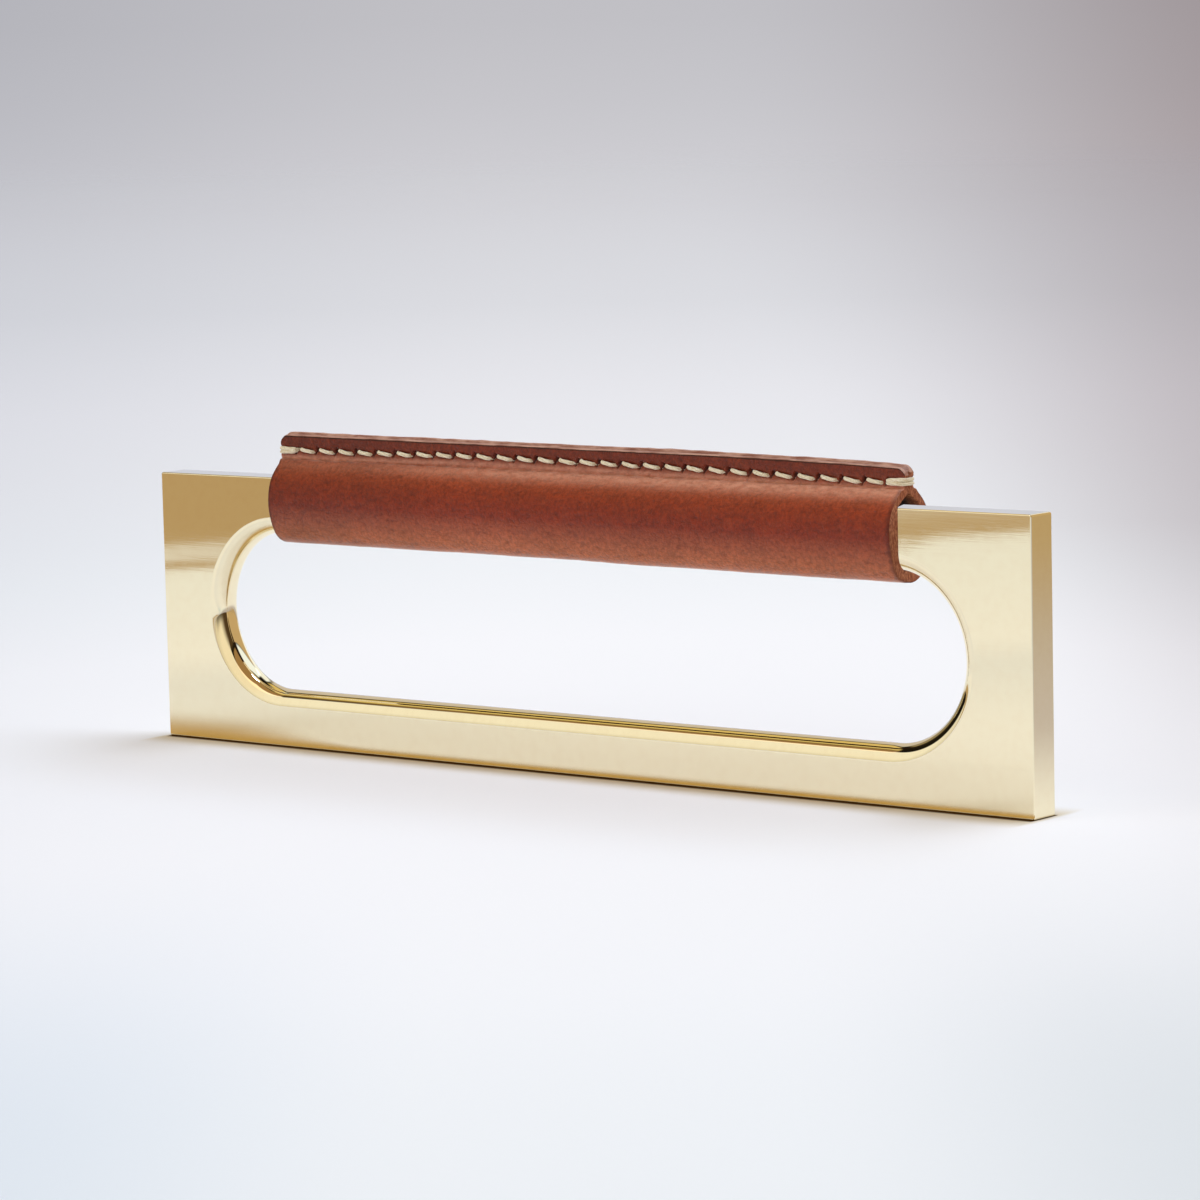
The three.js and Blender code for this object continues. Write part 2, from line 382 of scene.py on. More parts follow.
def brass_ring():
    """Spokes round the opening, from its middle line outwards: centre x and direction."""
    top = [(-x, 0.0, 1.0) for x in np.linspace(-END_X, END_X, 61)[1:-1]]
    corner = math.atan2(MID_Z, LENGTH / 2 - END_X)
    near_corner = np.linspace(corner - 0.009, corner + 0.009, 9)
    turn = np.concatenate([np.radians(np.linspace(-90, 90, 109)), -near_corner, near_corner])
    turn = np.unique(np.round(turn, 6))
    left = [(-END_X, -math.cos(a), math.sin(a)) for a in turn[::-1]]
    bottom = [(-x, 0.0, -1.0) for x, _, _ in top]
    right = [(END_X, math.cos(a), math.sin(a)) for a in turn]
    return top + left + bottom + right


def brass_section():
    """Steps round the plate's section: kind, angle and side, the opening first and then the outer edge."""
    steps = [("round", a, 0) for a in np.radians(np.linspace(180, 0, ROUND_STEPS + 1))]
    for side, start in ((1, 0), (-1, 90)):
        steps += [("edge", a, side) for a in np.radians(np.linspace(start, start + 90, EDGE_STEPS + 1))]
    return steps


def brass_point(spoke, step):
    """Place and normal of one point of the brass."""
    cx, ux, uz = spoke
    kind, a, side = step
    if kind == "round":
        r = MOUTH_R - HALF_T * math.sin(a)
        point = (cx + ux * r, HALF_T * math.cos(a), MID_Z + uz * r)
        return point, (-ux * math.sin(a), math.cos(a), -uz * math.sin(a))
    x, z, m = outline_hit(cx, ux, uz, EDGE_R * (1 - math.sin(a)))
    y = side * (HALF_T - EDGE_R) + EDGE_R * math.cos(a)
    return (x, y, z), (m[0] * math.sin(a), math.cos(a), m[1] * math.sin(a))


PLATE, FOOT_FILL, BORE, DRILL_POINT = range(4)  # kinds of the brass's faces


def drill_hole(bm, kind_layer, x, near, far):
    """Fill the foot between two rows of its points, round a blind hole with a drill point."""
    border = near + far[::-1]
    edges = []
    for a, b in zip(border, border[1:] + border[:1]):
        edges.append(bm.edges.get((a, b)) or bm.edges.new((a, b)))
    circle = []
    for q in range(HOLE_SIDES):
        t = 2 * math.pi * q / HOLE_SIDES
        circle.append(bm.verts.new((x + HOLE_R * math.cos(t), HOLE_R * math.sin(t), 0)))
    pairs = [(q, (q + 1) % HOLE_SIDES) for q in range(HOLE_SIDES)]
    edges += [bm.edges.new((circle[q], circle[w])) for q, w in pairs]
    filled = bmesh.ops.triangle_fill(bm, use_beauty=True, edges=edges, normal=(0, 0, -1))
    for face in filled["geom"]:
        if isinstance(face, bmesh.types.BMFace):
            face[kind_layer] = FOOT_FILL
    top = [bm.verts.new((c.co.x, c.co.y, HOLE_DEEP)) for c in circle]
    rise = HOLE_R / math.tan(math.radians(DRILL_ANGLE / 2))
    tip = bm.verts.new((x, 0, HOLE_DEEP + rise))
    for q, w in pairs:
        wall = bm.faces.new((circle[q], circle[w], top[w], top[q]))
        wall[kind_layer] = BORE
        cone = bm.faces.new((top[q], top[w], tip))
        cone[kind_layer] = DRILL_POINT


def take_layer(mesh, name, count):
    """The whole numbers of an attribute, which is removed."""
    values = [0] * count
    mesh.attributes[name].data.foreach_get("value", values)
    mesh.attributes.remove(mesh.attributes[name])
    return values


def build_brass():
    ring, section = brass_ring(), brass_section()
    count, cols = len(ring), len(section)
    points = [brass_point(spoke, step) for spoke in ring for step in section]
    foot = ROUND_STEPS + 1 + EDGE_STEPS  # the flat outer side lies between this column and the next
    holes = {}
    for x in (-HOLE_X, HOLE_X):
        sides = [points[i * cols + foot][0] for i in range(count)]
        holes[x] = [i for i, p in enumerate(sides) if p[2] < 1e-6 and abs(p[0] - x) < HOLE_REACH]
    filled = {i for rows in holes.values() for i in rows[:-1]}

    bm = bmesh.new()
    kind_layer = bm.faces.layers.int.new("kind")
    source_layer = bm.verts.layers.int.new("source")
    verts = [bm.verts.new(spot) for spot, _ in points]
    for i, vert in enumerate(verts):
        vert[source_layer] = i + 1
    for i in range(count):
        k = (i + 1) % count
        for j in range(cols):
            if j == foot and i in filled:
                continue
            m = (j + 1) % cols
            corners = (i * cols + j, i * cols + m, k * cols + m, k * cols + j)
            bm.faces.new([verts[c] for c in corners])
    for x, rows in holes.items():
        near = [verts[i * cols + foot] for i in rows]
        far = [verts[i * cols + foot + 1] for i in rows]
        drill_hole(bm, kind_layer, x, near, far)
    bmesh.ops.recalc_face_normals(bm, faces=bm.faces)
    mesh = bpy.data.meshes.new("brass_pull")
    bm.to_mesh(mesh)
    bm.free()

    kinds = take_layer(mesh, "kind", len(mesh.polygons))
    source = take_layer(mesh, "source", len(mesh.vertices))
    normals = []
    for poly in mesh.polygons:
        for loop in poly.loop_indices:
            v = mesh.loops[loop].vertex_index
            if kinds[poly.index] == PLATE and source[v]:
                normals.append(points[source[v] - 1][1])
            elif kinds[poly.index] == BORE:
                p = mesh.vertices[v].co
                to_axis = Vector((math.copysign(HOLE_X, p.x) - p.x, -p.y, 0))
                normals.append(to_axis.normalized()[:])
            else:
                normals.append(poly.normal[:])
    mesh.transform(Matrix.Scale(MM, 4))
    mesh.polygons.foreach_set("use_smooth", [True] * len(mesh.polygons))
    mesh.normals_split_custom_set(normals)
    add_layer(mesh, "flat", [0.0 if v and 0 < (v - 1) % cols < ROUND_STEPS else 1.0 for v in source])
    mesh.materials.append(brass_material())
    return place("brass_pull", mesh)


# Leather sleeve
# Front half of the section: half width and height, from the seam's top to the nose.
OUTER = [(0.06, 47.2), (0.5, 47.24), (0.86, 47.2), (1.06, 47.08), (1.13, 46.85), (1.14, 46.3), (1.15, 45.7),
         (1.16, 45.1), (1.17, 44.6), (1.2, 44.15), (1.3, 43.82), (1.62, 43.6), (2.15, 43.22), (2.75, 42.68),
         (3.38, 42.02), (3.95, 41.28), (4.37, 40.45), (4.68, 39.5), (4.86, 38.5), (4.91, 37.5), (4.84, 36.5),
         (4.66, 35.5), (4.4, 34.5), (3.98, 33.3), (3.38, 32.2), (2.5, 31.33), (1.35, 30.83), (0.0, 30.68)]
INNER = [(0.0, 42.85), (0.75, 42.42), (1.55, 41.92), (2.25, 41.42), (2.64, 40.95), (2.65, 40.1),
         (2.65, 39.0), (2.65, 37.8), (2.65, 36.6), (2.65, 35.6), (2.6, 34.6), (2.4, 33.6), (1.75, 32.75),
         (0.9, 32.3), (0.0, 32.16)]
REF_TOP, REF_CREASE, REF_MID, REF_BOTTOM = 47.2, 43.6, 38.0, 30.68

# Relief of the seam and the tube, in mm
FURROW_DEPTH, BED_DEPTH, SLIT_DEPTH = 0.10, 0.17, 0.62
BED_SLOPE = 0.42
PUFF_HEIGHT, PUCKER_DEPTH = 0.075, 0.05
CREASE_PRESS, CREASE_LIP = 0.06, 0.10
END_ROUND = 0.13  # rounding of the cut ends

GRAIN, CUT, BURNISHED = range(3)  # the leather's materials
GROOVE = (0, 0)  # the row between the seam's two edges
SEAM_TONE = 1.3  # height on the tone ramp, above the crease
SHINE_X, SHINE = (-56, -40, -8, 30), (0.08, 0.16, 0.85, 1.0)  # painted highlight on the shoulder, its strength along the pull


# Heights that vary along the pull: places along it, and the height at each
TOP_X, TOP_Z = (-56, -48, -30, 0, 24, 40, 50, 59), (47.42, 47.38, 47.3, 47.15, 47.04, 46.8, 46.6, 46.3)
STITCH_X = (-56, -40, -30, -20, -9, 8, 25, 35, 44, 52, 59)
STITCH_Z = (45.15, 45.15, 45.25, 45.4, 45.3, 45.15, 44.95, 44.72, 44.5, 44.38, 44.4)
CREASE_X, CREASE_Z = (-56, -52, 0, 24, 59), (43.72, 43.7, 43.5, 43.4, 43.3)
BOTTOM_X, BOTTOM_Z = (-56, -53, -4, 30, 45, 59), (31.05, 31.03, 30.93, 30.72, 30.62, 30.52)


def seam_top(x):
    return float(np.interp(x, TOP_X, TOP_Z))


def stitch_line(x):
    return float(np.interp(x, STITCH_X, STITCH_Z))


def crease_line(x):
    return float(np.interp(x, CREASE_X, CREASE_Z))


def bottom_line(x):
    return float(np.interp(x, BOTTOM_X, BOTTOM_Z))


def to_end(x):
    """How far a place on the sleeve is from the nearer end."""
    return min(x - GRIP_LEFT, GRIP_RIGHT - x)


def bell(*parts):
    """A soft bump: 1 in the middle, and little beyond 1 to each side."""
    return math.exp(-sum(part ** 2 for part in parts))


def slit_x(k):
    return FIRST_SLIT + PITCH * k


def wobble(x, y, z, scale, seed):
    return noise.noise(Vector((x * scale + seed, y * scale, z * scale)))


def column_positions():
    """Places along the sleeve, closest together at the slits and the ends."""
    u = np.arange(COLUMNS) / COLUMNS
    eased = u - 0.5 * np.sin(2 * np.pi * u) / (2 * np.pi)
    sewn = [slit_x(k) + PITCH * eased for k in range(STITCHES)]
    left = np.linspace(GRIP_LEFT + 0.3, FIRST_SLIT, 14, endpoint=False)
    right = np.linspace(LAST_SLIT, GRIP_RIGHT - 0.3, 14)
    ends = np.array([0.0, 0.03, 0.09, 0.18])
    return np.concatenate([GRIP_LEFT + ends, left, *sewn, right, GRIP_RIGHT - ends[::-1]])


def row_shares(line):
    """Shares along the outer half section: close together by the stitches, wider below."""
    steps = np.linalg.norm(np.diff(line, axis=0), axis=1)
    s = np.concatenate([[0], np.cumsum(steps)])
    pos = np.linspace(0, s[-1], 2000)
    z = np.interp(pos, s, line[:, 1])
    gap = np.where(pos < 1.6, 0.13, np.where(z > 44.3, 0.12, np.where(z > 43.0, 0.16, 0.42)))
    density = 1 / gap
    c = np.concatenate([[0], np.cumsum(0.5 * (density[1:] + density[:-1]) * np.diff(pos))])
    count = int(round(c[-1]))
    want = np.linspace(0, c[-1], count + 1)
    return np.interp(want, c, pos) / s[-1]


def warp_height(z, x, top):
    """Height of a point of the reference section at x, where the seam's top lies at top."""
    heights = [bottom_line(x), REF_MID, crease_line(x), top]
    return float(np.interp(z, [REF_BOTTOM, REF_MID, REF_CREASE, REF_TOP], heights))


def slit_shape(x, zs, q):
    """How a place lies to slit q: the cut's depth, the painted shade in it and the leather puffed up beside
    it.
    """
    dx = x - slit_x(q)
    along = dx * math.sin(SLIT_LEAN) + zs * math.cos(SLIT_LEAN)
    across = dx * math.cos(SLIT_LEAN) - zs * math.sin(SLIT_LEAN)
    reach = max(0.0, abs(along) - 0.5) / 0.16
    puff = bell((abs(across) - 0.42) / 0.2, max(0.0, abs(along) - 0.3) / 0.35)
    return bell(across / 0.17, reach), bell(across / 0.16, reach), puff


def relief(x, z, side):
    """How far the seam sinks (mm) at a place, how much shade is painted in a slit there, and how worn the
    leather is.
    """
    zs = z - stitch_line(x)
    k = (x - FIRST_SLIT) / PITCH
    if not -0.9 <= k <= STITCHES + 0.75 or abs(zs) > 1.7:
        return 0.0, 0.0, 0.0
    base = int(math.floor(k))
    u = (k - base) * PITCH
    sink = FURROW_DEPTH * bell(zs / 0.5)
    # The stitch's bed falls from upper left to lower right on the front, and rises on the back.
    slope = -BED_SLOPE if side < 0 else BED_SLOPE
    away = abs(zs - slope * (u / PITCH - 0.5)) - 0.24
    ends = min(u, PITCH - u)
    bed = max(0.0, 1 - max(0.0, away) / 0.22) * min(1.0, 0.35 + ends / 0.8)
    sink += BED_DEPTH * bed
    dark = 0.0
    for q in (base, base + 1):
        if 0 <= q <= STITCHES:
            cut, shadow, puff = slit_shape(x, zs, q)
            sink += SLIT_DEPTH * cut
            dark = max(dark, shadow)
            sink -= PUFF_HEIGHT * puff
    pucker = bell((zs + 1.05) / 0.42)
    sink += PUCKER_DEPTH * pucker * math.cos(2 * math.pi * (k + 0.1 * wobble(x, 0, 0, 0.4, 3)))
    return sink, dark, pucker * 0.55


def end_notch(x, z):
    """How far the thread that wraps each end of the seam pulls the leather's edge in."""
    inward = 1 if x < 0 else -1
    level = abs(z - stitch_line(x)) / 0.62
    return inward * 0.30 * math.exp(-level ** 4) * max(0.0, 1 - to_end(x) / 1.2) ** 1.5


def end_shape(x, z):
    """Sideways shift near the ends: the thread's notch, and a seam cut a little longer than the tube."""
    seam = min(1.0, max(0.0, (z - crease_line(x) + 0.5) / 1.2))
    tube, flange = (0.12, -0.42) if x < 0 else (0.20, 0.35)
    return end_notch(x, z) + (tube + (flange - tube) * seam) * max(0.0, 1 - to_end(x) / 3.5)


class Skin:
    """The leather's points, with the values that its materials read, and its faces with their materials."""

    def __init__(self):
        self.verts, self.mark, self.pale, self.tone = [], [], [], []
        self.faces, self.slots = [], []

    def point(self, spot, mark=0.0, pale=0.0, tone=0.0):
        self.verts.append(spot)
        self.mark.append(mark)
        self.pale.append(pale)
        self.tone.append(tone)
        return len(self.verts) - 1

    def face(self, corners, slot):
        self.faces.append(tuple(corners))
        self.slots.append(slot)


class Section:
    """Half of the sleeve's section, outside and inside, as rows of points from the seam's top down."""

    def __init__(self):
        line = curve_through(OUTER)
        self.outer = resample(line, row_shares(line))
        self.count = len(self.outer)
        above_crease = np.abs(self.outer[:, 1] - REF_CREASE) + (self.outer[:, 0] < 1.0) * 9
        self.crease = int(np.argmin(above_crease))
        self.inner_count = self.count - self.crease
        self.inner = resample(curve_through(INNER), np.linspace(0, 1, self.inner_count))
        tangent = np.gradient(self.outer, axis=0)
        tangent /= np.linalg.norm(tangent, axis=1)[:, None]
        normal = np.stack([-tangent[:, 1], tangent[:, 0]], 1)
        inwards = (normal[:, :1] < 0) & (self.outer[:, 1:] < 47.0) & (self.outer[:, :1] > 0.5)
        self.normal = np.where(inwards, -normal, normal)
        # Rows round the whole outside: the groove between the two edges, the front half, the back half.
        front = [(-1, j) for j in range(self.count)]
        back = [(1, j) for j in range(self.count - 2, -1, -1)]
        self.rows = [GROOVE] + front + back
        self.inner_rows = [(-1, j) for j in range(self.inner_count)]
        self.inner_rows += [(1, j) for j in range(self.inner_count - 2, 0, -1)]


def outer_point(skin, section, x, side, j, top):
    """One point of the outside, sunk and raised by the seam's relief, the crease and slow waves."""
    w, z = section.outer[j]
    nw, nz = section.normal[j]
    end = to_end(x)
    zz = warp_height(z, x, top)
    on_grain = w > 1.0
    sink, dark, light = relief(x, zz, side) if on_grain and zz > 42.6 else (0.0, 0.0, 0.0)
    sink += END_ROUND * (1 - math.sqrt(max(0.0, 1 - (1 - min(end, 0.18) / 0.18) ** 2)))
    slow = 0.10 * wobble(x, side * 4, zz, 0.11, 5) + 0.035 * wobble(x, side * 3, zz, 0.5, 8)
    if j < 6:
        slow *= 0.3
    over_crease = zz - crease_line(x)
    press = CREASE_PRESS * bell((over_crease - 0.28) / 0.13) if on_grain else 0.0
    lip = CREASE_LIP * bell((over_crease + 0.1) / 0.2) if on_grain else 0.0
    d = slow - sink - press + lip
    spot = (x + end_shape(x, zz), side * (w + nw * d), zz + nz * d)
    # A dark line along the seam's top corner
    if w > 0.98 and z > 46.9:
        dark = 0.8
    share = (zz - bottom_line(x)) / (crease_line(x) - bottom_line(x))
    # Painted shade on the grain close to the cut ends
    if end < 0.9 and share < 1.0:
        dark = max(dark, 0.45 * bell((end - 0.16) / 0.3))
    if not on_grain:
        return skin.point(spot, dark, 0.0, SEAM_TONE)
    # A painted highlight along the crease, strongest towards the right
    off = share - 0.985
    shoulder = bell(off / (0.075 if off < 0 else 0.05)) * np.interp(x, SHINE_X, SHINE)
    return skin.point(spot, dark, min(1.0, max(light, 0.78 * shoulder)), min(1.33, max(0.0, share)))


def add_outside(skin, section, xs):
    for x in xs:
        top_front = seam_top(x) + 0.03 * wobble(x, 0, 0, 0.6, 11)
        top_back = top_front + 0.34 + 0.05 * wobble(x, 0, 0, 0.5, 23)
        drop = max(0.0, 1 - to_end(x) / 1.1) ** 2 * 0.9
        for row in section.rows:
            if row == GROOVE:
                # The groove between the seam's two edges, dark with painted shade
                skin.point((x, 0.02, top_front - 0.55), mark=1.0, tone=SEAM_TONE)
                continue
            side, j = row
            top = top_front if side < 0 else top_back
            outer_point(skin, section, x, side, j, top - drop)
    count = len(section.rows)
    trimmed = [row == GROOVE or section.outer[row[1]][1] > 47.0 for row in section.rows]
    for i, quad in enumerate(grid_faces(len(xs), count)):
        j = i % count
        skin.face(quad, BURNISHED if trimmed[j] and trimmed[(j + 1) % count] else GRAIN)


def add_inside(skin, section):
    """The inner tube, with fewer columns. Its first point and the number of its columns are returned."""
    depths = np.array([0.0, 0.4, 0.8, 1.2, 1.7, 2.4])
    middle = np.linspace(GRIP_LEFT + 4, GRIP_RIGHT - 4, 78)
    xs = np.concatenate([GRIP_LEFT + depths, middle, GRIP_RIGHT - depths[::-1]])
    start = len(skin.verts)
    for x in xs:
        for side, j in section.inner_rows:
            w, z = section.inner[j]
            # Painted shade inside the tube, growing with the depth from the ends
            skin.point((x + end_shape(x, z), side * w, z), mark=min(1.0, to_end(x) / depths[-1]))
    for quad in grid_faces(len(xs), len(section.inner_rows), offset=start, flip=True):
        skin.face(quad, CUT)
    return start, len(xs)


def add_cut_end(skin, section, x_end, base_outer, base_inner, last):
    """One cut end: strips from each outer row to its row inside, with the seam as a fine groove."""
    out_dir = 1 if last else -1
    groove = base_outer
    seam_points = {}

    def inside(side, j):
        q = j - section.crease
        if q <= 0:
            return base_inner
        if side < 0 or q == section.inner_count - 1:
            return base_inner + q
        return base_inner + len(section.inner_rows) - q

    def in_seam(j):
        if j <= 0:
            return groove
        if j not in seam_points:
            z = min(skin.verts[base_outer + 1 + j][2], skin.verts[groove][2])
            # The seam's line on the cut end, dark with painted shade
            seam_points[j] = skin.point((x_end - out_dir * 0.45, 0.0, z), mark=1.0, tone=1.0)
        return seam_points[j]

    strips = []
    for r, row in enumerate(section.rows):
        outer = base_outer + r
        if row == GROOVE:
            strips.append([outer])
            continue
        side, j = row
        sewn = j < section.crease
        target = in_seam(j) if sewn else inside(side, j)
        p = np.array(skin.verts[outer])
        q = np.array(skin.verts[target])
        if sewn:
            q = np.array([x_end, side * 0.05, q[2]])
        strip = [outer]
        for f in (0.12, 0.3, 0.5, 0.7, 0.88):
            c = p + (q - p) * f
            rough = 0.09 * wobble(c[0], c[1], c[2], 3.1, 41) + 0.06 * wobble(c[0], c[1], c[2], 8.0, 47)
            strip.append(skin.point((x_end + end_shape(x_end, c[2]) + out_dir * rough, c[1], c[2])))
        if sewn:
            strip.append(skin.point((x_end + end_shape(x_end, q[2]) - out_dir * 0.02, q[1], q[2])))
        strip.append(target)
        strips.append(strip)
    for a, b in zip(strips, strips[1:] + strips[:1]):
        join_strips(skin, a, b, last)


def join_strips(skin, a, b, last):
    """Faces between two strips of points, of which one may be a single point."""
    if len(a) == 1 or len(b) == 1:
        hub = a[0] if len(a) == 1 else b[0]
        full = b if len(a) == 1 else a
        for p, q in zip(full, full[1:]):
            if len({p, q, hub}) == 3:
                skin.face((hub, q, p) if (len(a) == 1) == last else (hub, p, q), CUT)
        return
    a, b = list(a), list(b)
    while len(a) < len(b):
        a.insert(-1, a[-2])
    while len(b) < len(a):
        b.insert(-1, b[-2])
    for s in range(len(a) - 1):
        quad = [a[s], a[s + 1], b[s + 1], b[s]]
        corners = list(dict.fromkeys(quad if last else quad[::-1]))
        if len(corners) >= 3:
            skin.face(corners, CUT)


def build_leather():
    section = Section()
    skin = Skin()
    xs = column_positions()
    add_outside(skin, section, xs)
    last_outer = (len(xs) - 1) * len(section.rows)
    start_inner, inner_columns = add_inside(skin, section)
    last_inner = start_inner + (inner_columns - 1) * len(section.inner_rows)
    add_cut_end(skin, section, xs[0], 0, start_inner, False)
    add_cut_end(skin, section, xs[-1], last_outer, last_inner, True)
    mats = [leather_grain_material(), leather_edge_material(), leather_burnished_material()]
    obj = new_object("leather_sleeve", skin.verts, skin.faces, mats, skin.slots)
    add_layer(obj.data, "mark", skin.mark)
    add_layer(obj.data, "pale", skin.pale)
    add_layer(obj.data, "tone", skin.tone)
    point_outwards(obj.data)
    return obj


# Thread
SEAM_FACE = 1.15 + 0.16  # from the middle of the seam to the middle of a visible run
RUN = [(0.11, -0.88), (0.18, -0.42), (0.27, -0.03), (0.5, 0.05), (0.73, -0.03), (0.82, -0.42), (0.89, -0.88)]
SLIT_DEEP = 0.18  # from the middle of the seam to where a run starts
SLIT_GAP = 0.31  # from the middle of a slit to the thread half in its upper or lower end


def slit_point(k, upper, y):
    x = slit_x(k)
    gap = SLIT_GAP if upper else -SLIT_GAP
    return np.array((x + gap * 0.45, y, stitch_line(x) + gap))


def face_of(k, half):
    """Side of the seam on which this half of the thread runs from slit k to the next."""
    return -1 if (k + half) % 2 == 0 else 1


def stitch(k, half):
    """Points of one visible run. RUN gives shares of its length, and how far it lies over the face."""
    side = face_of(k, half)
    front = side < 0
    a = slit_point(k, front, side * SLIT_DEEP)
    b = slit_point(k + 1, not front, side * SLIT_DEEP)
    jitter = 0.05 * wobble(k * 3.1, half, 0, 1.0, 61)
    points = [a]
    for share, lift in RUN:
        c = a + (b - a) * share
        buried = share in (RUN[0][0], RUN[-1][0])
        points.append((c[0], side * (SEAM_FACE + lift), c[2] + (0.0 if buried else jitter)))
    return points + [b]


def end_wrap(half, right):
    """The thread's turn round an end of the seam, and its tail on the other face."""
    k = STITCHES if right else 0
    x_end = GRIP_RIGHT + 0.10 if right else GRIP_LEFT - 0.20
    d = 1 if right else -1
    s = -face_of(STITCHES - 1 if right else 0, half)
    level = 0.26 if (half == 0) == right else -0.26
    near = 0.15 if level > 0 else -0.15
    x0 = slit_x(k)
    z0 = stitch_line(x0)
    zf = z0 + (0.02 if right else -0.02)
    return [(x0 + near * 0.4, s * 0.5, z0 + near),
            (x0 + d * 0.35, s * (SEAM_FACE - 0.12), z0 + near * 1.1),
            (x0 + d * 0.9, s * (SEAM_FACE + 0.04), zf + level * 0.8),
            (x_end - d * 0.75, s * (SEAM_FACE + 0.05), zf + level * 1.1),
            (x_end - d * 0.2, s * (SEAM_FACE - 0.02), zf + level * 1.15),
            (x_end + d * 0.03, s * 0.85, zf + level * 1.15),
            (x_end + d * 0.06, 0.0, zf + level * 1.1),
            (x_end + d * 0.03, -s * 0.85, zf + level * 1.05),
            (x_end - d * 0.2, -s * (SEAM_FACE - 0.02), zf + level * 1.0),
            (x_end - d * 0.75, -s * (SEAM_FACE + 0.05), zf + level),
            (x0 + d * 0.9, -s * (SEAM_FACE + 0.04), zf + level * 0.8),
            (x0 + d * 0.35, -s * (SEAM_FACE - 0.12), z0 + near * 1.1),
            (x0 + near * 0.4, -s * 0.62, z0 + near)]


def thread_swell(p, travelled, half):
    """The thread's thickness varies a little, and it narrows where it goes into a slit."""
    swell = 1 + 0.06 * wobble(travelled, half * 9, 0, 0.7, 71)
    if FIRST_SLIT - 0.3 < p[0] < LAST_SLIT + 0.3 and abs(p[1]) < 1.62:
        share = (p[0] - FIRST_SLIT) / PITCH
        swell *= 1 - 0.34 * bell(abs(share - round(share)) * PITCH / 0.55)
    return swell


def build_thread(half, mat):
    path = end_wrap(half, False)[::-1]
    for k in range(STITCHES):
        path += stitch(k, half)
    line = curve_through(path + end_wrap(half, True))
    length = np.linalg.norm(np.diff(line, axis=0), axis=1).sum()
    line = resample(line, np.linspace(0, 1, int(length / THREAD_STEP)))
    tangent = np.gradient(line, axis=0)
    tangent /= np.linalg.norm(tangent, axis=1)[:, None]
    up = np.array([0, 0, 1.0])
    verts, ply = [], []
    travelled = 0.0
    for i, (p, t) in enumerate(zip(line, tangent)):
        if i:
            travelled += np.linalg.norm(line[i] - line[i - 1])
        up = up - t * (up @ t)
        up /= np.linalg.norm(up)
        side = np.cross(t, up)
        twist = 2 * math.pi * travelled / THREAD_TWIST
        swell = thread_swell(p, travelled, half)
        for q in range(THREAD_SIDES):
            a = 2 * math.pi * q / THREAD_SIDES
            lobe = math.cos(3 * (a - twist))
            r = THREAD_R * swell * (0.96 + 0.07 * lobe)
            verts.append(p + r * (math.cos(a) * up + math.sin(a) * side))
            ply.append(max(0.0, -lobe) ** 2)
    rings = len(line)
    faces = grid_faces(rings, THREAD_SIDES)
    faces.append(tuple(range(THREAD_SIDES))[::-1])
    faces.append(tuple((rings - 1) * THREAD_SIDES + q for q in range(THREAD_SIDES)))
    obj = new_object("thread_half_%d_twisted" % (half + 1), verts, faces, [mat])
    add_layer(obj.data, "ply", ply)
    point_outwards(obj.data)
    return obj


# The pieces, each attached to the root, with the part that it replaces hidden
brass = build_brass()
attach(brass, "root")
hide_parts("brass_frame")

sleeve = build_leather()
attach(sleeve, "root")
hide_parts("leather_grip")
sleeve.visible_glossy = False  # the brass in the photograph shows next to none of the leather

thread_mat = thread_material()
for half in (0, 1):
    thread = build_thread(half, thread_mat)
    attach(thread, "root")
    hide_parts("thread_half_%d" % (half + 1))


# Camera, as fitted to the frame's edges in the photograph
CAM = Vector((0.4110, -0.5026, 0.0989))
RIGHT = Vector((0.77889, 0.62673, -0.02315))
UP = Vector((-0.05294, 0.10249, 0.99332))
BACK = RIGHT.cross(UP).normalized()
cam_data = bpy.data.cameras.new("camera")
cam_data.lens = 136.15
cam_data.sensor_width = 36
cam_data.clip_start, cam_data.clip_end = 0.01, 200
cam = place("camera", cam_data)
right = RIGHT.normalized()
up = BACK.cross(right)
cam.matrix_world = Matrix(((right.x, up.x, BACK.x, CAM.x), (right.y, up.y, BACK.y, CAM.y),
                           (right.z, up.z, BACK.z, CAM.z), (0, 0, 0, 1)))
bpy.context.scene.camera = cam


# Studio
AHEAD = Vector((-0.629, 0.777, 0))  # the way the photograph looks, along the floor
ASIDE = Vector((0.777, 0.629, 0))
FLOOR_LIGHT = (0.975, 0.965, 0.955)  # how bright a white floor gets under the studio light
FLOOR_HALF = 8000.0
FOOT_X, FOOT_Y = 0.0798, 0.0025  # half length and half thickness of the brass foot, in metres


def offsets(n):
    """Distance to the right of the camera's line, and along it, on the floor (m)."""
    split = n.add("ShaderNodeSeparateXYZ", Vector=n.position())
    x, y = split.outputs[0], split.outputs[1]
    dx, dy = n.minus(x, CAM.x), n.minus(y, CAM.y)
    aside = n.plus(n.times(dx, ASIDE.x), n.times(dy, ASIDE.y))
    along = n.plus(n.times(dx, AHEAD.x), n.times(dy, AHEAD.y))
    return x, y, aside, along


def rectangle(x0, y0, x1, y1, z=0.0):
    return [(x0, y0, z), (x1, y0, z), (x1, y1, z), (x0, y1, z)]


